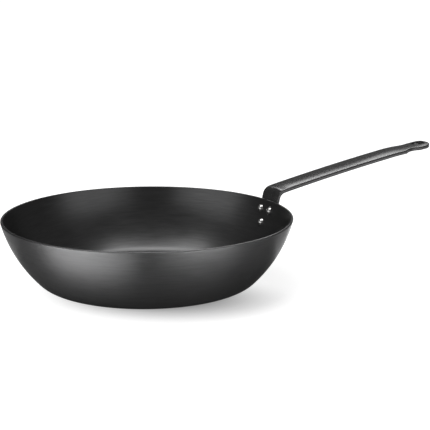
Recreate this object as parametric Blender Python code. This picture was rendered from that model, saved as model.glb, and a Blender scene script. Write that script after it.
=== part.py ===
"""Deep black-steel frying pan.

A bowl pressed from one sheet, a strip handle whose tongue lies on the wall and whose crowned grip ends
in an eye, and the three rivets that hold the tongue. Metres, +Z up, base on the XY plane, handle along +X.
"""

import math

import bmesh
import bpy
from mathutils import Matrix, Vector

# Bowl, measured on the outside of the sheet
RIM_RADIUS = 0.1405
WALL_FLARE = 0.0482
BOWL_HEIGHT = 0.0642
CORNER_RADIUS = 0.0206
RIM_ANGLE = math.radians(75.4)
SHEET = 0.0025
LIP_ROUND = 0.0009

# Strip of the handle, from the tongue's lower end to the end of the grip
STRIP_WIDTH = 0.0278
STRIP_GAUGE = 0.0036
EDGE_ROUND = 0.0009
TONGUE_LENGTH = 0.033
TONGUE_CORNER = 0.008
TONGUE_RISE = 0.0054
BEND_RADIUS = 0.006
GRIP_ANGLE = math.radians(10.8)
GRIP_LENGTH = 0.1579
GRIP_ARCH_RADIUS = 3.1
GRIP_CROWN = 0.0014
CROWN_RUN = 0.014

# Head of the handle, beyond the grip
NECK_CUT = 0.00335
NECK_RADIUS = 0.017
HEAD_FLARE = 0.0021
HEAD_FLANK = 0.0066
HEAD_CORNER = 0.0088
HEAD_DROP = 0.0016
EYE_DIAMETER = 0.011
EYE_MARGIN = 0.0046

# Rivets: two in the upper row and one below them, on an even triangle
RIVET_PITCH = 0.0155
RIVET_DEPTH = 0.0107
SHANK_DIAMETER = 0.004
DOME_DIAMETER = 0.0082
DOME_HEIGHT = 0.0023
TAIL_DIAMETER = 0.0072
TAIL_HEIGHT = 0.0018

# Clearance that every touching pair keeps
SEAT_GAP = 0.0003

# Cutters reach past both faces, by this many times what they cut through
DRILL_REACH = 4

# Facets, and the angle above which an edge between them shows
SHARP_ANGLE = math.radians(40)
AXIS_MERGE = 0.00001
BOWL_STEPS = 96
CORNER_FACETS = 6
WALL_FACETS = 8
LIP_FACETS = 3
BEND_FACETS = 10
GRIP_FACETS = 16
CROWN_FACETS = 8
ROUND_FACETS = 3
HEAD_FACETS = 7
RIVET_STEPS = 24
DOME_FACETS = 6

BLACK_STEEL = ("black_steel", (0.030, 0.030, 0.031), 0.42, 0.9)
BLACK_STRIP = ("black_strip", (0.018, 0.018, 0.019), 0.35, 0.6)
BRIGHT_STEEL = ("bright_steel", (0.62, 0.62, 0.62), 0.25, 1.0)


def steps(start, end, count):
    """Even values after start, up to and with end."""
    return [start + (end - start) * i / count for i in range(1, count + 1)]


def ease(value, start, end):
    """Smooth change from 0 at start to 1 at end."""
    share = min(max((value - start) / (end - start), 0.0), 1.0)
    return share * share * (3 - 2 * share)


def along(angle):
    """Direction at an angle above the level, in the upright plane through the axis."""
    return Vector((math.cos(angle), math.sin(angle)))


def outward(angle):
    """Outward normal of a wall that rises at an angle above the level."""
    return Vector((math.sin(angle), -math.cos(angle)))


# Side view of the wall: an arc that leaves the base corner smoothly and reaches the rim at its angle
BASE_RADIUS = RIM_RADIUS - WALL_FLARE
CORNER_CENTRE = Vector((BASE_RADIUS, CORNER_RADIUS))
RIM_POINT = Vector((RIM_RADIUS, BOWL_HEIGHT))
TO_RIM = RIM_POINT - CORNER_CENTRE
RIM_REACH = TO_RIM.dot(outward(RIM_ANGLE)) - CORNER_RADIUS
WALL_RADIUS = (TO_RIM.length_squared - CORNER_RADIUS**2) / (2 * RIM_REACH)
WALL_CENTRE = RIM_POINT - WALL_RADIUS * outward(RIM_ANGLE)
WALL_ANGLE = math.atan2(BASE_RADIUS - WALL_CENTRE.x, WALL_CENTRE.y - CORNER_RADIUS)


def wall_angle_below_rim(depth):
    """Slope of the wall at a distance below the rim, measured along its outside."""
    return RIM_ANGLE - depth / WALL_RADIUS


def wall_point(angle, inset):
    """Point where the wall has this slope, an inset in from its outside."""
    return WALL_CENTRE + (WALL_RADIUS - inset) * outward(angle)


# Runs of the strip's seat line: the tongue up the wall, the rise over the rim, the bend and the arched grip
SEAT_RADIUS = WALL_RADIUS + SEAT_GAP
TONGUE_ANGLE = RIM_ANGLE - TONGUE_LENGTH / SEAT_RADIUS
TOP_BEND_RADIUS = BEND_RADIUS + STRIP_GAUGE
BEND_LENGTH = (RIM_ANGLE - GRIP_ANGLE) * TOP_BEND_RADIUS
RUNS = (
    (TONGUE_LENGTH, 1 / SEAT_RADIUS),
    (TONGUE_RISE, 0.0),
    (BEND_LENGTH, -1 / TOP_BEND_RADIUS),
    (math.inf, -1 / GRIP_ARCH_RADIUS),
)
BEND_START = TONGUE_LENGTH + TONGUE_RISE
BEND_END = BEND_START + BEND_LENGTH
SHOULDER = BEND_END + GRIP_LENGTH

# Plan of the head: a hollow on each side makes the neck, and round corners close the end
HALF_WIDTH = STRIP_WIDTH / 2
NECK_HALF = HALF_WIDTH - NECK_CUT
HEAD_HALF = NECK_HALF + HEAD_FLARE
HEAD_ROUND = min(HEAD_CORNER, HEAD_HALF)
NECK = SHOULDER + math.sqrt(NECK_RADIUS**2 - (NECK_RADIUS - NECK_CUT) ** 2)
NECK_TURN = math.acos((NECK_RADIUS + HEAD_ROUND - HEAD_FLARE) / (NECK_RADIUS + HEAD_ROUND))
HEAD_START = NECK + (NECK_RADIUS + HEAD_ROUND) * math.sin(NECK_TURN)
HEAD_END = HEAD_START + HEAD_FLANK
TIP = HEAD_END + HEAD_ROUND
EYE = TIP - EYE_MARGIN - EYE_DIAMETER / 2

# Stack that a rivet holds, from the inside of the wall to the outside of the tongue
RIVET_STACK = SHEET + SEAT_GAP + STRIP_GAUGE
RIVET_ROW = RIVET_PITCH * math.sin(math.radians(60))


def seat_line(distance):
    """Point and slope of the strip's seat line at a distance from the tongue's lower end."""
    point = wall_point(TONGUE_ANGLE, -SEAT_GAP)
    angle = TONGUE_ANGLE
    for length, curve in RUNS:
        run = min(distance, length)
        middle = angle + curve * run / 2
        half_turn = curve * run / 2
        chord = run * math.sin(half_turn) / half_turn if half_turn else run
        point = point + chord * along(middle)
        angle += curve * run
        distance -= run
        if distance <= 0:
            break
    return point, angle


def formed(distance, offset, depth):
    """Formed place of a point of the flat blank, offset from its middle and depth below its upper face."""
    point, angle = seat_line(distance)
    head = ease(distance, SHOULDER, NECK)
    crown = GRIP_CROWN * ease(distance, BEND_START, BEND_END + CROWN_RUN)
    lift = crown * (1 - (offset / HALF_WIDTH) ** 2) - HEAD_DROP * head - depth
    point = point - lift * outward(angle)
    wrap = 1 - ease(distance, BEND_START, BEND_END)
    bow = point.x - math.sqrt(point.x**2 - offset**2)
    return Vector((point.x - wrap * bow, offset, point.y))


def blank_outline():
    """Half outline of the flat blank from tongue to tip, as (distance, half width, outward step)."""
    corner = min(TONGUE_CORNER, HALF_WIDTH)
    outline = []
    for turn in [0.0] + steps(0.0, math.pi / 2, CORNER_FACETS):
        out = Vector((-math.cos(turn), math.sin(turn)))
        outline.append((corner + corner * out.x, HALF_WIDTH - corner + corner * out.y, out))
    straight = steps(corner, TONGUE_LENGTH, WALL_FACETS) + [BEND_START]
    straight += steps(BEND_START, BEND_END, BEND_FACETS)
    straight += steps(BEND_END, SHOULDER, GRIP_FACETS)[:-1]
    for distance in straight:
        outline.append((distance, HALF_WIDTH, Vector((0.0, 1.0))))
    shoulder_turn = -math.acos((NECK_RADIUS - NECK_CUT) / NECK_RADIUS)
    mitre = Vector((-math.tan(shoulder_turn / 2), 1.0))
    outline.append((SHOULDER, HALF_WIDTH, mitre))
    for turn in steps(shoulder_turn, NECK_TURN, HEAD_FACETS):
        out = Vector((-math.sin(turn), math.cos(turn)))
        outline.append((NECK - NECK_RADIUS * out.x, NECK_HALF + NECK_RADIUS * (1 - out.y), out))
    for turn in steps(-NECK_TURN, 0.0, ROUND_FACETS):
        out = Vector((math.sin(turn), math.cos(turn)))
        outline.append((HEAD_START + HEAD_ROUND * out.x, HEAD_HALF - HEAD_ROUND * (1 - out.y), out))
    for turn in [0.0] + steps(0.0, math.pi / 2, HEAD_FACETS):
        out = Vector((math.sin(turn), math.cos(turn)))
        outline.append((HEAD_END + HEAD_ROUND * out.x, HEAD_HALF - HEAD_ROUND * (1 - out.y), out))
    return outline


def edge_section():
    """Rounded edge of the strip from upper to lower face, as (step in from the outline, depth)."""
    edge = min(EDGE_ROUND, STRIP_GAUGE / 2)
    upper = []
    for turn in [0.0] + steps(0.0, math.pi / 2, ROUND_FACETS):
        upper.append((edge - edge * math.sin(turn), edge - edge * math.cos(turn)))
    return upper + [(inset, STRIP_GAUGE - depth) for inset, depth in reversed(upper)]


def lattice_skin(mesh, counts, place):
    """Skin of a box-shaped lattice of counts cells, with place giving the position of each lattice point."""
    skin = bmesh.new()
    corners = {}

    def corner(index):
        if index not in corners:
            corners[index] = skin.verts.new(place(*index))
        return corners[index]

    for axis in range(3):
        across, up = [other for other in range(3) if other != axis]
        for end in (0, counts[axis]):
            for i in range(counts[across]):
                for j in range(counts[up]):
                    cell = []
                    for di, dj in ((0, 0), (1, 0), (1, 1), (0, 1)):
                        index = [end, end, end]
                        index[across] = i + di
                        index[up] = j + dj
                        cell.append(corner(tuple(index)))
                    skin.faces.new(cell)
    bmesh.ops.recalc_face_normals(skin, faces=skin.faces)
    skin.to_mesh(mesh)
    skin.free()


def material(name, colour, roughness, metallic):
    """Principled material, made once for each finish."""
    finish = bpy.data.materials.get(name) or bpy.data.materials.new(name)
    finish.use_nodes = True
    shader = finish.node_tree.nodes["Principled BSDF"]
    shader.inputs["Base Color"].default_value = (*colour, 1.0)
    shader.inputs["Roughness"].default_value = roughness
    shader.inputs["Metallic"].default_value = metallic
    return finish


def add_object(name, mesh, parent, finish=None):
    """Object of a mesh under its parent, shaded smooth where a finish is given."""
    piece = bpy.data.objects.new(name, mesh)
    bpy.context.scene.collection.objects.link(piece)
    piece.parent = parent
    if finish:
        mesh.materials.append(material(*finish))
        mesh.shade_smooth()
        mesh.set_sharp_from_angle(angle=SHARP_ANGLE)
    return piece


def turned(name, profile, count, parent, finish):
    """Solid of revolution about the object's Z axis, from a side view that runs down its outer side."""
    mesh = bpy.data.meshes.new(name)
    points = [(point[0], 0.0, point[1]) for point in profile]
    mesh.from_pydata(points, [(i, i + 1) for i in range(len(points) - 1)], [])
    piece = add_object(name, mesh, parent, finish)
    screw = piece.modifiers.new("Turn", "SCREW")
    screw.axis = "Z"
    screw.steps = count
    screw.render_steps = count
    screw.use_smooth_shade = True
    screw.use_merge_vertices = True
    screw.merge_threshold = AXIS_MERGE
    return piece


def drill(piece, cutter):
    """Cut a hole where a drill rod passes through the piece."""
    cut = piece.modifiers.new(cutter.name, "BOOLEAN")
    cut.operation = "DIFFERENCE"
    cut.solver = "EXACT"
    cut.object = cutter


def drill_rod(name, diameter, length, place, parent):
    """Round cutter centred on a place, along that place's Z axis."""
    mesh = bpy.data.meshes.new(name)
    rod = bmesh.new()
    bmesh.ops.create_cone(
        rod,
        cap_ends=True,
        segments=RIVET_STEPS,
        radius1=diameter / 2,
        radius2=diameter / 2,
        depth=length,
    )
    rod.to_mesh(mesh)
    rod.free()
    cutter = add_object(name, mesh, parent)
    cutter.matrix_world = place
    cutter.hide_render = True
    cutter.display_type = "WIRE"
    return cutter


def frame_at(origin, normal):
    """Placement with its Z axis along a normal that lies in the upright plane through the pan's axis."""
    tilt = normal.to_track_quat("Z", "Y").to_matrix().to_4x4()
    return Matrix.Translation(origin) @ tilt


def bowl_profile():
    """Side view of the bowl: inner base, up the inside, over the rounded lip and down the outside."""
    lip = min(LIP_ROUND, SHEET / 2)
    lip_angle = wall_angle_below_rim(lip)
    turns = [0.0] + steps(0.0, WALL_ANGLE, CORNER_FACETS)
    slopes = steps(WALL_ANGLE, lip_angle, WALL_FACETS)

    def side(inset):
        corner = [CORNER_CENTRE + (CORNER_RADIUS - inset) * outward(turn) for turn in turns]
        return corner + [wall_point(slope, inset) for slope in slopes]

    lip_arcs = []
    for inset, first in ((SHEET - lip, math.pi), (lip, math.pi / 2)):
        centre = wall_point(lip_angle, inset)
        for turn in [first] + steps(first, first - math.pi / 2, LIP_FACETS):
            spoke = math.cos(turn) * outward(RIM_ANGLE) + math.sin(turn) * along(RIM_ANGLE)
            lip_arcs.append(centre + lip * spoke)
    inside = [Vector((0.0, SHEET))] + side(SHEET)[:-1]
    outside = side(0.0)[:-1][::-1] + [Vector((0.0, 0.0))]
    return inside + lip_arcs + outside


def cap(diameter, height, count):
    """Side view of a domed cap from its crown to its edge, as (radius, height)."""
    ball = ((diameter / 2) ** 2 + height**2) / (2 * height)
    edge = math.acos((ball - height) / ball)
    arc = [(ball * math.sin(turn), ball * math.cos(turn) - ball + height) for turn in steps(0.0, edge, count)]
    return [(0.0, height)] + arc


def rivet_profile():
    """Side view of a set rivet about its own axis, with the inside of the wall at height 0."""
    shank = SHANK_DIAMETER / 2
    under = -RIVET_STACK - SEAT_GAP
    dome = [(radius, SEAT_GAP + height) for radius, height in cap(DOME_DIAMETER, DOME_HEIGHT, DOME_FACETS)]
    tail = [(radius, under - height) for radius, height in cap(TAIL_DIAMETER, TAIL_HEIGHT, DOME_FACETS)]
    return dome + [(shank, SEAT_GAP), (shank, under)] + tail[::-1]


def rivet_place(depth, sideways):
    """Placement of a rivet on the inside of the wall, its Z axis towards the middle of the bowl."""
    angle = wall_angle_below_rim(depth)
    point = wall_point(angle, SHEET)
    normal = -outward(angle)
    upright = frame_at(Vector((point.x, 0.0, point.y)), Vector((normal.x, 0.0, normal.y)))
    return Matrix.Rotation(math.asin(sideways / point.x), 4, "Z") @ upright


def build_bowl(parent):
    """The bowl, pressed from one sheet: flat base, round corner, curved wall and rounded lip."""
    return turned("pan_body", bowl_profile(), BOWL_STEPS, parent, BLACK_STEEL)


def build_handle(parent):
    """The strip handle: a flat blank with rounded edges, formed along its seat line, with a hanging eye."""
    outline = blank_outline()
    section = edge_section()

    def place(station, layer, column):
        distance, half, out = outline[station]
        inset, depth = section[layer]
        share = 2 * column / CROWN_FACETS - 1
        return formed(distance - inset * out.x, share * (half - inset * out.y), depth)

    mesh = bpy.data.meshes.new("handle")
    lattice_skin(mesh, (len(outline) - 1, len(section) - 1, CROWN_FACETS), place)
    handle = add_object("handle", mesh, parent, BLACK_STRIP)
    middle = formed(EYE, 0.0, STRIP_GAUGE / 2)
    normal = formed(EYE, 0.0, 0.0) - middle
    eye_rod = drill_rod("eye_rod", EYE_DIAMETER, DRILL_REACH * STRIP_GAUGE, frame_at(middle, normal), parent)
    drill(handle, eye_rod)
    return handle


def build_rivets(parent, held):
    """Three domed rivets through the wall and the tongue, and the holes that they pass through."""
    places = {
        "rivet_upper_left": (RIVET_DEPTH, RIVET_PITCH / 2),
        "rivet_upper_right": (RIVET_DEPTH, -RIVET_PITCH / 2),
        "rivet_lower": (RIVET_DEPTH + RIVET_ROW, 0.0),
    }
    hole = SHANK_DIAMETER + 2 * SEAT_GAP
    for name, (depth, sideways) in places.items():
        place = rivet_place(depth, sideways)
        rivet = turned(name, rivet_profile(), RIVET_STEPS, parent, BRIGHT_STEEL)
        rivet.matrix_world = place
        through = place @ Matrix.Translation((0.0, 0.0, -RIVET_STACK / 2))
        rod = drill_rod(name + "_drill", hole, DRILL_REACH * RIVET_STACK, through, parent)
        for piece in held:
            drill(piece, rod)


def build():
    for old in list(bpy.data.objects):
        bpy.data.objects.remove(old)
    pan = bpy.data.objects.new("frying_pan", None)
    bpy.context.scene.collection.objects.link(pan)
    bowl = build_bowl(pan)
    handle = build_handle(pan)
    build_rivets(pan, (bowl, handle))


build()
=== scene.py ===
"""Looks of a deep black-steel frying pan with a riveted strip handle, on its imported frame."""

import math

import bpy
from mathutils import Matrix, Vector


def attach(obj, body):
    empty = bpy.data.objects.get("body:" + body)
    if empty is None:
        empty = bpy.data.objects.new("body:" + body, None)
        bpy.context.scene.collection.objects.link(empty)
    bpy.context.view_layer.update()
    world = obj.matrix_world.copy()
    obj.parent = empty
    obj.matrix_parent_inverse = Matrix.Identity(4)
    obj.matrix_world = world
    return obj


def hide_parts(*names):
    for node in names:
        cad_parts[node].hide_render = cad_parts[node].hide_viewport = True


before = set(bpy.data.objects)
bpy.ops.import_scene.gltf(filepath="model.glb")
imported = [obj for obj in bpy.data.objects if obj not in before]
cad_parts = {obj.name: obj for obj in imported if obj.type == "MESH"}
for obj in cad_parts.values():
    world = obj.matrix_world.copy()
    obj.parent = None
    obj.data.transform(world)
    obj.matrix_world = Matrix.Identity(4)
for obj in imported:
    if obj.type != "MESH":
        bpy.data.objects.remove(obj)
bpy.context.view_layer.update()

# The bowl is one round of black carbon steel, pressed into a flat base, a round corner and a curved wall
# that flares to a plain cut lip with slightly rounded edges. The outside is brushed round the axis, and the
# inside is smoother.
RIM_RADIUS = 0.1405
WALL_FLARE = 0.0482
BOWL_HEIGHT = 0.0642
CORNER_RADIUS = 0.0206
RIM_ANGLE = math.radians(75.4)
SHEET = 0.0025
LIP_ROUND = 0.0009
BASE_RADIUS = RIM_RADIUS - WALL_FLARE
BASE_RING = 0.003
BOWL_SEGMENTS = 256
CORNER_RINGS = 14
WALL_RINGS = 36
LIP_SEGMENTS = 5
SMOOTH_ANGLE = math.radians(40)


def along(angle):
    """Direction at an angle above the level, in the upright plane through the axis."""
    return Vector((math.cos(angle), math.sin(angle)))


def outward(angle):
    """Outward normal of a wall that rises at an angle above the level."""
    return Vector((math.sin(angle), -math.cos(angle)))


corner_centre = Vector((BASE_RADIUS, CORNER_RADIUS))
rim_point = Vector((RIM_RADIUS, BOWL_HEIGHT))
to_rim = rim_point - corner_centre
rim_reach = to_rim.dot(outward(RIM_ANGLE)) - CORNER_RADIUS
wall_radius = (to_rim.length_squared - CORNER_RADIUS**2) / (2 * rim_reach)
wall_centre = rim_point - wall_radius * outward(RIM_ANGLE)
wall_angle = math.atan2(BASE_RADIUS - wall_centre.x, wall_centre.y - CORNER_RADIUS)


def wall_point(angle, inset):
    """Point where the wall has this slope, an inset in from its outside."""
    return wall_centre + (wall_radius - inset) * outward(angle)


def start_piece(name):
    """Name the primitive that was just added, and leave its edit mode open with nothing selected."""
    piece = bpy.context.active_object
    piece.name = name
    piece.data.name = name
    bpy.ops.object.mode_set(mode="EDIT")
    bpy.ops.mesh.select_all(action="DESELECT")
    return piece


def select_edges(piece, wanted):
    """Select in edit mode only the edges whose two ends are as wanted."""
    bpy.ops.mesh.select_all(action="DESELECT")
    bpy.ops.object.mode_set(mode="OBJECT")
    points = piece.data.vertices
    for edge in piece.data.edges:
        edge.select = wanted(points[edge.vertices[0]].co, points[edge.vertices[1]].co)
    bpy.ops.object.mode_set(mode="EDIT")


bpy.ops.object.select_all(action="DESELECT")
bpy.ops.mesh.primitive_circle_add(vertices=BOWL_SEGMENTS, radius=BASE_RADIUS, fill_type="NGON")
bowl = start_piece("bowl")
bpy.ops.mesh.select_mode(type="FACE")
bpy.ops.mesh.select_all(action="SELECT")
bpy.ops.mesh.inset(thickness=BASE_RING)
bpy.ops.mesh.select_mode(type="EDGE")
bpy.ops.mesh.select_all(action="SELECT")
bpy.ops.mesh.region_to_loop()
rings = []
for ring in range(1, CORNER_RINGS + 1):
    rings.append(corner_centre + CORNER_RADIUS * outward(wall_angle * ring / CORNER_RINGS))
for ring in range(1, WALL_RINGS + 1):
    rings.append(wall_point(wall_angle + (RIM_ANGLE - wall_angle) * ring / WALL_RINGS, 0.0))
drawn = Vector((BASE_RADIUS, 0.0))
for ring in rings:
    bpy.ops.mesh.extrude_edges_move(TRANSFORM_OT_translate={"value": (0.0, 0.0, ring.y - drawn.y)})
    spread = ring.x / drawn.x
    bpy.ops.transform.resize(value=(spread, spread, 1.0), center_override=(0.0, 0.0, ring.y))
    drawn = ring
bpy.ops.mesh.select_all(action="SELECT")
bpy.ops.mesh.normals_make_consistent(inside=False)
bpy.ops.object.mode_set(mode="OBJECT")
bpy.ops.object.modifier_add(type="SOLIDIFY")
bowl.modifiers[-1].thickness = SHEET
bowl.modifiers[-1].offset = 1.0 if bowl.data.polygons[0].normal.z > 0 else -1.0
bowl.modifiers[-1].use_even_offset = True
bpy.ops.object.modifier_apply(modifier=bowl.modifiers[-1].name)
lip_slack = LIP_ROUND / 4
lip_low = BOWL_HEIGHT - lip_slack
bpy.ops.object.mode_set(mode="EDIT")
bpy.ops.mesh.select_mode(type="EDGE")
select_edges(bowl, lambda a, b: min(a.z, b.z) > lip_low and abs(a.z - b.z) < lip_slack)
bpy.ops.mesh.bevel(offset=LIP_ROUND, segments=LIP_SEGMENTS, affect="EDGES")
bpy.ops.object.mode_set(mode="OBJECT")
bpy.ops.object.shade_smooth_by_angle(angle=SMOOTH_ANGLE)

DARK_STEEL = (0.075, 0.075, 0.0757, 1.0)
PALE_STEEL = (0.105, 0.105, 0.106, 1.0)
STEEL_RANGE = (0.3, 0.72)
NOISE_RANGE = (0.3, 0.7)
FINE_ACROSS = 1400.0
FINE_ROUND = 9.0
FINE_SHARE = 0.6
STREAK_ACROSS = 330.0
STREAK_ROUND = 5.0
CLOUD_SCALE = 18.0
CLOUD_CHANGE = 0.03
GRAIN_HEIGHT = 0.00006
BRUSH_TURN = 0.25
AXIS_ROOM = 0.002


class Finish:
    """Nodes of one material, added and joined by short calls."""

    def __init__(self, name):
        self.material = bpy.data.materials.new(name)
        self.material.use_nodes = True
        self.tree = self.material.node_tree
        self.shader = self.tree.nodes["Principled BSDF"]

    def add(self, kind, **settings):
        node = self.tree.nodes.new(kind)
        for setting, value in settings.items():
            setattr(node, setting, value)
        return node

    def join(self, source, target):
        self.tree.links.new(source, target)

    def calculate(self, operation, *values):
        """Math node on sockets and plain numbers."""
        node = self.add("ShaderNodeMath", operation=operation)
        for socket, value in zip(node.inputs, values):
            if isinstance(value, bpy.types.NodeSocket):
                self.join(value, socket)
            else:
                socket.default_value = value
        return node.outputs[0]

    def noise(self, vector, scale, detail, roughness):
        node = self.add("ShaderNodeTexNoise")
        node.inputs["Scale"].default_value = scale
        node.inputs["Detail"].default_value = detail
        node.inputs["Roughness"].default_value = roughness
        self.join(vector, node.inputs["Vector"])
        return node.outputs["Fac"]

    def spread(self, value, low, high, to_low, to_high, curve="LINEAR"):
        """Map a value from one range to another, held at both ends."""
        node = self.add("ShaderNodeMapRange", interpolation_type=curve)
        self.join(value, node.inputs["Value"])
        ends = {"From Min": low, "From Max": high, "To Min": to_low, "To Max": to_high}
        for socket, number in ends.items():
            node.inputs[socket].default_value = number
        return node.outputs["Result"]

    def tone(self, value, low, high, dark, pale):
        """Give the base colour a run from dark to pale as a value goes from low to high."""
        node = self.add("ShaderNodeValToRGB")
        for element, position, colour in zip(node.color_ramp.elements, (low, high), (dark, pale)):
            element.position = position
            element.color = colour
        self.join(value, node.inputs["Fac"])
        self.join(node.outputs["Color"], self.shader.inputs["Base Color"])

    def bump(self, height, distance, strength):
        node = self.add("ShaderNodeBump")
        node.inputs["Distance"].default_value = distance
        node.inputs["Strength"].default_value = strength
        self.join(height, node.inputs["Height"])
        self.join(node.outputs["Normal"], self.shader.inputs["Normal"])


def black_steel(name, brushing, grain_depth, smoothest, roughest, edge_tint):
    """Blackened sheet with fine lines and wider streaks round the Z axis; brushing stretches its gloss."""
    steel = Finish(name)
    place = steel.add("ShaderNodeTexCoord").outputs["Object"]
    split = steel.add("ShaderNodeSeparateXYZ")
    steel.join(place, split.inputs[0])
    x, y, z = split.outputs
    squares = [steel.calculate("MULTIPLY", side, side) for side in (x, y)]
    radius = steel.calculate("SQRT", steel.calculate("ADD", *squares))
    radius = steel.calculate("MAXIMUM", radius, AXIS_ROOM)
    up_the_sheet = steel.calculate("ADD", radius, z)

    def ring_lines(across, round_axis):
        """Place that changes fast up the sheet and slowly round the axis."""
        lines = steel.add("ShaderNodeCombineXYZ")
        for side, socket in zip((x, y), lines.inputs):
            turn = steel.calculate("DIVIDE", side, radius)
            steel.join(steel.calculate("MULTIPLY", turn, round_axis), socket)
        steel.join(steel.calculate("MULTIPLY", up_the_sheet, across), lines.inputs[2])
        return lines.outputs[0]

    fine = steel.noise(ring_lines(FINE_ACROSS, FINE_ROUND), scale=1.0, detail=3.0, roughness=0.6)
    streaks = steel.noise(ring_lines(STREAK_ACROSS, STREAK_ROUND), scale=1.0, detail=2.0, roughness=0.5)
    clouds = steel.noise(place, CLOUD_SCALE, detail=3.0, roughness=0.55)
    fine_part = steel.calculate("MULTIPLY", fine, FINE_SHARE)
    streak_part = steel.calculate("MULTIPLY", streaks, 1 - FINE_SHARE)
    grain = steel.calculate("ADD", fine_part, streak_part)
    steel.tone(grain, *STEEL_RANGE, DARK_STEEL, PALE_STEEL)
    streaked = steel.spread(streaks, *NOISE_RANGE, smoothest, roughest)
    clouded = steel.spread(clouds, *NOISE_RANGE, -CLOUD_CHANGE, CLOUD_CHANGE)
    steel.join(steel.calculate("ADD", streaked, clouded), steel.shader.inputs["Roughness"])
    steel.shader.inputs["Metallic"].default_value = 1.0
    steel.shader.inputs["Specular Tint"].default_value = (edge_tint, edge_tint, edge_tint, 1.0)
    steel.shader.inputs["Anisotropic"].default_value = brushing
    steel.shader.inputs["Anisotropic Rotation"].default_value = BRUSH_TURN
    tangent = steel.add("ShaderNodeTangent", direction_type="RADIAL", axis="Z")
    steel.join(tangent.outputs[0], steel.shader.inputs["Tangent"])
    steel.bump(grain, GRAIN_HEIGHT, grain_depth)
    return steel.material


brushed_outside = black_steel(
    "brushed_outside", brushing=0.7, grain_depth=0.5, smoothest=0.41, roughest=0.47, edge_tint=0.5
)
smooth_inside = black_steel(
    "smooth_inside", brushing=0.0, grain_depth=0.2, smoothest=0.31, roughest=0.35, edge_tint=1.0
)
bowl.data.materials.append(brushed_outside)
bowl.data.materials.append(smooth_inside)
above = Vector((0.0, 0.0, RIM_RADIUS))
for face in bowl.data.polygons:
    face.material_index = 1 if face.normal.dot(above - face.center) > 0 else 0
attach(bowl, "root")
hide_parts("pan_body")

# The handle is one steel strip, blacked and semi-gloss, cut to its outline with the eye punched in its head.
# It is then formed: the tongue lies on the wall, the strip turns over the rim, and the grip is crowned and
# slightly arched, with a small drop to the head.
STRIP_WIDTH = 0.0278
STRIP_GAUGE = 0.0036
EDGE_ROUND = 0.0009
TONGUE_LENGTH = 0.033
TONGUE_CORNER = 0.008
TONGUE_RISE = 0.0054
BEND_RADIUS = 0.006
GRIP_ANGLE = math.radians(10.8)
GRIP_LENGTH = 0.1579
GRIP_ARCH_RADIUS = 3.1
GRIP_CROWN = 0.0014
CROWN_RUN = 0.014
NECK_CUT = 0.00335
NECK_RADIUS = 0.017
HEAD_FLARE = 0.0021
HEAD_FLANK = 0.0066
HEAD_CORNER = 0.0088
HEAD_DROP = 0.0016
DROP_EASE = 0.016
EYE_DIAMETER = 0.011
EYE_MARGIN = 0.0046
EYE_CHAMFER = 0.0004
SEAT_GAP = 0.0003
TONGUE_STEPS = 10
NECK_STEPS = 16
FLARE_STEPS = 5
TIP_STEPS = 12
EDGE_SEGMENTS = 4
EYE_SEGMENTS = 64
TONGUE_CUTS = 16
BEND_CUTS = 24
CROWN_CUTS = 6
GRIP_CUTS = 24
DROP_CUTS = 16
HALF_COLUMNS = 8

seat_radius = wall_radius + SEAT_GAP
tongue_angle = RIM_ANGLE - TONGUE_LENGTH / seat_radius
top_bend_radius = BEND_RADIUS + STRIP_GAUGE
bend_length = (RIM_ANGLE - GRIP_ANGLE) * top_bend_radius
strip_runs = (
    (TONGUE_LENGTH, 1 / seat_radius),
    (TONGUE_RISE, 0.0),
    (bend_length, -1 / top_bend_radius),
    (math.inf, -1 / GRIP_ARCH_RADIUS),
)
bend_start = TONGUE_LENGTH + TONGUE_RISE
bend_end = bend_start + bend_length
crown_end = bend_end + CROWN_RUN
shoulder = bend_end + GRIP_LENGTH
half_width = STRIP_WIDTH / 2
neck_half = half_width - NECK_CUT
head_half = neck_half + HEAD_FLARE
neck = shoulder + math.sqrt(NECK_RADIUS**2 - (NECK_RADIUS - NECK_CUT) ** 2)
neck_turn = math.acos((NECK_RADIUS + HEAD_CORNER - HEAD_FLARE) / (NECK_RADIUS + HEAD_CORNER))
head_start = neck + (NECK_RADIUS + HEAD_CORNER) * math.sin(neck_turn)
head_end = head_start + HEAD_FLANK
tip = head_end + HEAD_CORNER
eye = tip - EYE_MARGIN - EYE_DIAMETER / 2
drop_start = shoulder - DROP_EASE
drop_end = neck + DROP_EASE


def arc(centre, radius, start, end, count):
    """Points of a round stretch of the blank's outline, from one angle to another."""
    turns = [start + (end - start) * i / count for i in range(count + 1)]
    return [Vector(centre) + radius * along(turn) for turn in turns]


def evenly(start, length, count):
    """Places at even steps along a length, without its start."""
    return [start + length * i / count for i in range(1, count + 1)]


def ease(value, start, end):
    """Smooth change from 0 at start to 1 at end."""
    share = min(max((value - start) / (end - start), 0.0), 1.0)
    return share * share * (3 - 2 * share)


def seat_line(distance):
    """Point and slope of the strip's seat line at a distance from the tongue's lower end."""
    point = wall_point(tongue_angle, -SEAT_GAP)
    angle = tongue_angle
    for length, curve in strip_runs:
        run = min(distance, length)
        half_turn = curve * run / 2
        chord = run * math.sin(half_turn) / half_turn if half_turn else run
        point = point + chord * along(angle + half_turn)
        angle += curve * run
        distance -= run
        if distance <= 0:
            break
    return point, angle


def formed(distance, offset, depth):
    """Formed place of a point of the flat blank, offset from its middle and depth below its upper face."""
    point, angle = seat_line(distance)
    crown = GRIP_CROWN * ease(distance, bend_start, crown_end)
    drop = HEAD_DROP * ease(distance, drop_start, drop_end)
    lift = crown * (1 - (offset / half_width) ** 2) - drop - depth
    point = point - lift * outward(angle)
    wrap = 1 - ease(distance, bend_start, bend_end)
    bow = point.x - math.sqrt(point.x**2 - offset**2)
    return Vector((point.x - wrap * bow, offset, point.y))


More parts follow.
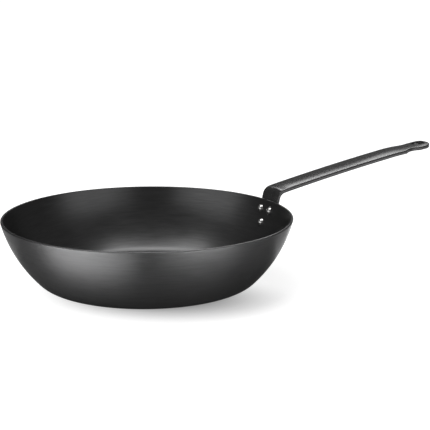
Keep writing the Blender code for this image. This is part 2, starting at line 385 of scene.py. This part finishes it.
quarter = math.pi / 2
shoulder_turn = math.acos((NECK_RADIUS - NECK_CUT) / NECK_RADIUS)
tongue_centre = (TONGUE_CORNER, half_width - TONGUE_CORNER)
neck_centre = (neck, neck_half + NECK_RADIUS)
flare_centre = (head_start, head_half - HEAD_CORNER)
tip_centre = (head_end, head_half - HEAD_CORNER)
near_side = arc(tongue_centre, TONGUE_CORNER, 2 * quarter, quarter, TONGUE_STEPS)
near_side += arc(neck_centre, NECK_RADIUS, -quarter - shoulder_turn, -quarter + neck_turn, NECK_STEPS)
near_side += arc(flare_centre, HEAD_CORNER, quarter + neck_turn, quarter, FLARE_STEPS)[1:]
near_side += arc(tip_centre, HEAD_CORNER, quarter, 0.0, TIP_STEPS)
outline = near_side + [Vector((point.x, -point.y)) for point in reversed(near_side)]

bpy.ops.object.select_all(action="DESELECT")
bpy.ops.mesh.primitive_plane_add(size=STRIP_WIDTH)
handle = start_piece("strip_handle")
bpy.ops.mesh.select_all(action="SELECT")
bpy.ops.mesh.merge(type="CENTER")
bpy.ops.mesh.select_mode(type="VERT")
bpy.ops.mesh.select_all(action="SELECT")
bpy.ops.transform.translate(value=(outline[0].x, outline[0].y, 0.0))
for last, point in zip(outline, outline[1:]):
    step = point - last
    bpy.ops.mesh.extrude_region_move(TRANSFORM_OT_translate={"value": (step.x, step.y, 0.0)})
bpy.ops.mesh.select_all(action="SELECT")
bpy.ops.mesh.edge_face_add()
bpy.ops.mesh.extrude_region_move(TRANSFORM_OT_translate={"value": (0.0, 0.0, -STRIP_GAUGE)})
bpy.ops.mesh.select_all(action="SELECT")
bpy.ops.mesh.normals_make_consistent(inside=False)
bpy.ops.mesh.select_mode(type="EDGE")
select_edges(handle, lambda a, b: abs(a.z - b.z) < STRIP_GAUGE / 4)
bpy.ops.mesh.bevel(offset=EDGE_ROUND, segments=EDGE_SEGMENTS, affect="EDGES")

cuts = evenly(0.0, TONGUE_LENGTH, TONGUE_CUTS)
cuts += [bend_start] + evenly(bend_start, bend_length, BEND_CUTS)
cuts += evenly(bend_end, CROWN_RUN, CROWN_CUTS)
cuts += evenly(crown_end, drop_start - crown_end, GRIP_CUTS)
cuts += evenly(drop_start, drop_end - drop_start, DROP_CUTS)
for cut in cuts:
    bpy.ops.mesh.select_all(action="SELECT")
    bpy.ops.mesh.bisect(plane_co=(cut, 0.0, 0.0), plane_no=(1.0, 0.0, 0.0))
for column in range(1 - HALF_COLUMNS, HALF_COLUMNS):
    sideways = half_width * column / HALF_COLUMNS
    bpy.ops.mesh.select_all(action="SELECT")
    bpy.ops.mesh.bisect(plane_co=(0.0, sideways, 0.0), plane_no=(0.0, 1.0, 0.0))
bpy.ops.object.mode_set(mode="OBJECT")

eye_radius = EYE_DIAMETER / 2
bpy.ops.object.select_all(action="DESELECT")
bpy.ops.mesh.primitive_cylinder_add(
    vertices=EYE_SEGMENTS,
    radius=eye_radius,
    depth=STRIP_GAUGE - 2 * EYE_CHAMFER,
    location=(eye, 0.0, -STRIP_GAUGE / 2),
)
punch = start_piece("eye_punch")
bpy.ops.mesh.select_mode(type="FACE")
eye_flare = (eye_radius + 2 * EYE_CHAMFER) / eye_radius
for end in (1.0, -1.0):
    bpy.ops.object.mode_set(mode="OBJECT")
    for face in punch.data.polygons:
        face.select = face.normal.z * end > 0.5
    bpy.ops.object.mode_set(mode="EDIT")
    bpy.ops.mesh.extrude_region_move(TRANSFORM_OT_translate={"value": (0.0, 0.0, end * 2 * EYE_CHAMFER)})
    bpy.ops.transform.resize(value=(eye_flare, eye_flare, 1.0), center_override=(eye, 0.0, 0.0))
bpy.ops.object.mode_set(mode="OBJECT")
bpy.ops.object.select_all(action="DESELECT")
bpy.context.view_layer.objects.active = handle
handle.select_set(True)
bpy.ops.object.modifier_add(type="BOOLEAN")
handle.modifiers[-1].object = punch
handle.modifiers[-1].solver = "EXACT"
bpy.ops.object.modifier_apply(modifier=handle.modifiers[-1].name)
bpy.data.objects.remove(punch)
for point in handle.data.vertices:
    point.co = formed(point.co.x, point.co.y, -point.co.z)
bpy.ops.object.shade_smooth_by_angle(angle=SMOOTH_ANGLE)

DARK_BLACKING = (0.010, 0.010, 0.0102, 1.0)
PALE_BLACKING = (0.018, 0.018, 0.0182, 1.0)
BLACKING_RANGE = (0.3, 0.75)
BLACKING_ROUGHNESS = (0.2, 0.22)
BLACKING_GLOSS = 0.6
MOTTLE_SCALE = 160.0
SKIN_SCALE = 900.0
SKIN_HEIGHT = 0.00003


def black_strip():
    """Semi-gloss blacking on rolled strip, with a faint mottle and a fine skin."""
    strip = Finish("black_strip")
    place = strip.add("ShaderNodeTexCoord").outputs["Object"]
    mottle = strip.noise(place, MOTTLE_SCALE, detail=4.0, roughness=0.6)
    skin = strip.noise(place, SKIN_SCALE, detail=2.0, roughness=0.5)
    strip.tone(mottle, *BLACKING_RANGE, DARK_BLACKING, PALE_BLACKING)
    roughness = strip.spread(mottle, *NOISE_RANGE, *BLACKING_ROUGHNESS)
    strip.join(roughness, strip.shader.inputs["Roughness"])
    strip.shader.inputs["Specular IOR Level"].default_value = BLACKING_GLOSS
    strip.bump(skin, SKIN_HEIGHT, strength=0.04)
    return strip.material


handle.data.materials.append(black_strip())
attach(handle, "root")
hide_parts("handle")

# The rivets are bright steel, domed on the inside of the wall and set flatter on the outside of the tongue.
# Two sit in a row below the lip and one below them, on an even triangle. One is modelled, and the three are
# copies of it.
RIVET_PITCH = 0.0155
RIVET_DEPTH = 0.0107
SHANK_DIAMETER = 0.004
DOME_DIAMETER = 0.0082
DOME_HEIGHT = 0.0023
TAIL_DIAMETER = 0.0072
TAIL_HEIGHT = 0.0018
RIVET_SEGMENTS = 48
DOME_RINGS = 12
TAIL_RINGS = 8
rivet_stack = SHEET + SEAT_GAP + STRIP_GAUGE
rivet_row = RIVET_PITCH * math.sin(math.radians(60))


def cap_rings(diameter, height, count):
    """Radius and height of the rings of a domed cap, from its edge to near its crown."""
    ball = ((diameter / 2) ** 2 + height**2) / (2 * height)
    edge = math.acos((ball - height) / ball)
    turns = [edge * (count - i) / count for i in range(count)]
    return [(ball * math.sin(turn), ball * math.cos(turn) - ball + height) for turn in turns]


def draw_rivet(name):
    """One set rivet on its own Z axis, with the inside of the wall at height 0."""
    bpy.ops.object.select_all(action="DESELECT")
    shank = SHANK_DIAMETER / 2
    bpy.ops.mesh.primitive_circle_add(vertices=RIVET_SEGMENTS, radius=shank, fill_type="NOTHING")
    rivet = start_piece(name)
    under = -rivet_stack - SEAT_GAP
    dome = [(shank, SEAT_GAP)]
    for radius, height in cap_rings(DOME_DIAMETER, DOME_HEIGHT, DOME_RINGS):
        dome.append((radius, SEAT_GAP + height))
    tail = [(shank, under)]
    for radius, height in cap_rings(TAIL_DIAMETER, TAIL_HEIGHT, TAIL_RINGS):
        tail.append((radius, under - height))
    bpy.ops.mesh.select_mode(type="EDGE")
    for side in (dome, tail):
        last_radius, last_height = shank, 0.0
        select_edges(rivet, lambda a, b: max(abs(a.z), abs(b.z)) < SEAT_GAP / 4)
        for radius, height in side:
            rise = (0.0, 0.0, height - last_height)
            spread = radius / last_radius
            bpy.ops.mesh.extrude_edges_move(TRANSFORM_OT_translate={"value": rise})
            bpy.ops.transform.resize(value=(spread, spread, 1.0), center_override=(0.0, 0.0, height))
            last_radius, last_height = radius, height
        bpy.ops.mesh.edge_face_add()
        bpy.ops.mesh.poke(offset=0.0)
    bpy.ops.mesh.select_all(action="SELECT")
    bpy.ops.mesh.normals_make_consistent(inside=False)
    bpy.ops.object.mode_set(mode="OBJECT")
    bpy.ops.object.shade_smooth_by_angle(angle=SMOOTH_ANGLE)
    return rivet


BRIGHT_STEEL = (0.55, 0.546, 0.54, 1.0)
BRIGHT_ROUGHNESS = (0.15, 0.21)
HAZE_SCALE = 700.0
HAZE_HEIGHT = 0.00002


def bright_rivet_steel():
    """Drawn and polished steel with a faint haze."""
    bright = Finish("bright_rivet_steel")
    place = bright.add("ShaderNodeTexCoord").outputs["Object"]
    haze = bright.noise(place, HAZE_SCALE, detail=3.0, roughness=0.6)
    bright.shader.inputs["Base Color"].default_value = BRIGHT_STEEL
    bright.shader.inputs["Metallic"].default_value = 1.0
    roughness = bright.spread(haze, *NOISE_RANGE, *BRIGHT_ROUGHNESS)
    bright.join(roughness, bright.shader.inputs["Roughness"])
    bright.bump(haze, HAZE_HEIGHT, strength=0.3)
    return bright.material


pattern = draw_rivet("rivet_pattern")
pattern.data.materials.append(bright_rivet_steel())
rivet_places = {
    "rivet_upper_left": (RIVET_DEPTH, RIVET_PITCH / 2),
    "rivet_upper_right": (RIVET_DEPTH, -RIVET_PITCH / 2),
    "rivet_lower": (RIVET_DEPTH + rivet_row, 0.0),
}
for node, (depth, sideways) in rivet_places.items():
    rivet = pattern.copy()
    rivet.data = pattern.data.copy()
    rivet.name = "set_" + node
    rivet.data.name = "set_" + node
    bpy.context.scene.collection.objects.link(rivet)
    angle = RIM_ANGLE - depth / wall_radius
    seat = wall_point(angle, SHEET)
    inward = Vector((-outward(angle).x, 0.0, -outward(angle).y))
    tilted = inward.to_track_quat("Z", "Y").to_matrix().to_4x4()
    seated = Matrix.Translation((seat.x, 0.0, seat.y)) @ tilted
    rivet.data.transform(Matrix.Rotation(math.asin(sideways / seat.x), 4, "Z") @ seated)
    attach(rivet, "root")
    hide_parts(node)
bpy.data.objects.remove(pattern)

# The floor is one pale sheet that runs far behind the pan. A glow that only the camera and reflections see
# makes it white. The glow is weaker in an oval under the front of the pan. That is a painted shadow, laid
# over the real soft shadow that the lamps' light on the sheet leaves there. What the steel mirrors of the
# glow is weaker all round the pan, which is painted shade in its reflections.
FLOOR_SIZE = 24.0
FLOOR_DROP = 0.0003
FLOOR_TONE = 0.5
# Place, turn and size of the oval of painted shadow, and how low the glow falls inside it.
SHADE_CENTRE = (-0.0104, -0.0650, 0.0)
SHADE_TURN = math.radians(-34.8)
SHADE_SIZE = (0.126, 0.0857, 1.0)
SHADE_CORE = 0.19
SHADE_GLOW = 0.25
OPEN_GLOW = 0.85
MIRROR_GLOW = 0.13
FAR_REACH = (0.55, 1.60)
bpy.ops.object.select_all(action="DESELECT")
bpy.ops.mesh.primitive_plane_add(size=FLOOR_SIZE, location=(0.0, 0.0, -FLOOR_DROP))
floor = bpy.context.active_object
floor.name = "floor"
pale = Finish("pale_floor")
pale.shader.inputs["Base Color"].default_value = (FLOOR_TONE, FLOOR_TONE, FLOOR_TONE, 1.0)
pale.shader.inputs["Roughness"].default_value = 1.0
pale.shader.inputs["Specular IOR Level"].default_value = 0.0
pale.shader.inputs["Emission Color"].default_value = (1.0, 1.0, 1.0, 1.0)
place = pale.add("ShaderNodeTexCoord").outputs["Object"]
away = pale.add("ShaderNodeVectorMath", operation="LENGTH")
pale.join(place, away.inputs[0])
shade = pale.add("ShaderNodeMapping", vector_type="TEXTURE")
shade.inputs["Location"].default_value = SHADE_CENTRE
shade.inputs["Rotation"].default_value = (0.0, 0.0, SHADE_TURN)
shade.inputs["Scale"].default_value = SHADE_SIZE
pale.join(place, shade.inputs["Vector"])
across = pale.add("ShaderNodeVectorMath", operation="LENGTH")
pale.join(shade.outputs[0], across.inputs[0])
# Painted shadow: the camera's glow is dimmed inside the oval, over the real soft shadow the lamps leave.
painted_shadow_glow = pale.spread(across.outputs["Value"], SHADE_CORE, 1.0, SHADE_GLOW, OPEN_GLOW, "SMOOTHSTEP")
# The far glow whitens the distant floor. In reflections it is also painted shade, faint near the pan and
# white far off.
far_glow = pale.spread(away.outputs["Value"], *FAR_REACH, MIRROR_GLOW, 1.0, "SMOOTHSTEP")
rays = pale.add("ShaderNodeLightPath").outputs
mirrored = pale.calculate("MAXIMUM", rays["Is Glossy Ray"], rays["Is Transmission Ray"])
whole_glow = pale.calculate("MAXIMUM", painted_shadow_glow, far_glow)
direct = pale.calculate("MULTIPLY", rays["Is Camera Ray"], whole_glow)
reflected = pale.calculate("MULTIPLY", mirrored, far_glow)
glow = pale.calculate("MAXIMUM", direct, reflected)
pale.join(glow, pale.shader.inputs["Emission Strength"])
floor.data.materials.append(pale.material)

# The camera stands low in front of the pan, so that the handle points to the right and a little away.
# Its long lens, place and tilt were fitted to the bowl's rim, base and outline in the photograph.
HANDLE_TURN = math.radians(28.4)
CAMERA_DISTANCE = 1.31387
CAMERA_HEIGHT = 0.37010
CAMERA_PITCH = math.radians(13.064)
CAMERA_SWING = math.radians(2.839)
LENS_MM = 117.21
SENSOR_MM = 36.0
lens = bpy.data.cameras.new("camera")
lens.lens = LENS_MM
lens.sensor_width = SENSOR_MM
camera = bpy.data.objects.new("camera", lens)
bpy.context.scene.collection.objects.link(camera)
camera.location = (
    -CAMERA_DISTANCE * math.sin(HANDLE_TURN),
    -CAMERA_DISTANCE * math.cos(HANDLE_TURN),
    CAMERA_HEIGHT,
)
camera.rotation_euler = (math.pi / 2 - CAMERA_PITCH, 0.0, -CAMERA_SWING - HANDLE_TURN)
bpy.context.scene.camera = camera

# The light is soft boxes in a dim room, and round lit cards that lie on the floor. One box high on the left
# lights the floor and casts the real part of its shadow; the rest of that shadow is painted into the floor's
# glow.
# The others and the cards are what the black steel mirrors.
AIM = Vector((0.0, 0.0, 0.04))
TOP_SHIFT = 0.16
TOP_AIM = AIM - TOP_SHIFT * Vector((math.cos(HANDLE_TURN), -math.sin(HANDLE_TURN), 0.0))
CARD_HEIGHT = 0.004
ROOM_GREY = (0.14, 0.14, 0.14, 1.0)


def soft_box(name, aim, azimuth, elevation, distance, width, height, power):
    """Area lamp that faces its aim; azimuth counts from the camera's side, to the left as it sees it."""
    lamp = bpy.data.lights.new(name, "AREA")
    lamp.shape = "RECTANGLE"
    lamp.size = width
    lamp.size_y = height
    lamp.energy = power
    box = bpy.data.objects.new(name, lamp)
    bpy.context.scene.collection.objects.link(box)
    heading = math.radians(azimuth) + HANDLE_TURN + CAMERA_SWING
    rise = math.radians(elevation)
    level = math.cos(rise)
    toward = Vector((-math.sin(heading) * level, -math.cos(heading) * level, math.sin(rise)))
    box.location = aim + distance * toward
    box.rotation_euler = (math.pi / 2 - rise, 0.0, -heading)
    box.visible_camera = False
    return box


def mirrored_box(name, aim, **setting):
    """Soft box that shows only in reflections and lights nothing else."""
    soft_box(name, aim, **setting).visible_diffuse = False


def floor_card(name, azimuth, distance, width, depth, power):
    """Round lit card that lies on the floor beside the pan and shows only in its reflections."""
    card = soft_box(name, AIM, azimuth, 0.0, distance, width, depth, power)
    card.data.shape = "ELLIPSE"
    card.location.z = CARD_HEIGHT
    card.rotation_euler.x = math.pi
    card.visible_diffuse = False


soft_box("left_box", AIM, azimuth=56.0, elevation=20.0, distance=1.4, width=1.5, height=0.8, power=3.7)
soft_box("right_box", AIM, azimuth=-52.0, elevation=20.0, distance=1.4, width=1.5, height=0.8, power=3.2)
mirrored_box(
    "top_box", TOP_AIM, azimuth=180.0, elevation=82.0, distance=1.4, width=1.5, height=0.81, power=13.4
)
mirrored_box(
    "back_box", AIM, azimuth=-175.0, elevation=39.0, distance=1.5, width=0.85, height=0.18, power=2.8
)
mirrored_box("tip_box", AIM, azimuth=-158.0, elevation=31.5, distance=1.5, width=0.4, height=0.18, power=0.5)
shadow_box = soft_box(
    "shadow_box", AIM, azimuth=120.0, elevation=60.0, distance=1.6, width=2.4, height=2.4, power=36.0
)
shadow_box.visible_glossy = False
floor_card("left_card", azimuth=40.0, distance=0.37, width=0.42, depth=0.2, power=3.8)
floor_card("left_near_card", azimuth=29.0, distance=0.175, width=0.185, depth=0.035, power=0.064)
floor_card("right_card", azimuth=-35.5, distance=0.36, width=0.33, depth=0.18, power=2.15)
floor_card("edge_card", azimuth=-142.0, distance=0.28, width=0.225, depth=0.225, power=0.4)
floor_card("right_edge_card", azimuth=-114.0, distance=0.195, width=0.16, depth=0.11, power=0.075)
floor_card("left_edge_card", azimuth=112.0, distance=0.195, width=0.16, depth=0.11, power=0.045)
floor_card("handle_card", azimuth=-80.0, distance=0.6, width=0.34, depth=0.34, power=0.9)

room = bpy.data.worlds.new("room")
bpy.context.scene.world = room
room.use_nodes = True
background = room.node_tree.nodes["Background"]
background.inputs["Color"].default_value = ROOM_GREY
background.inputs["Strength"].default_value = 1.0
bpy.context.scene.view_settings.view_transform = "Standard"
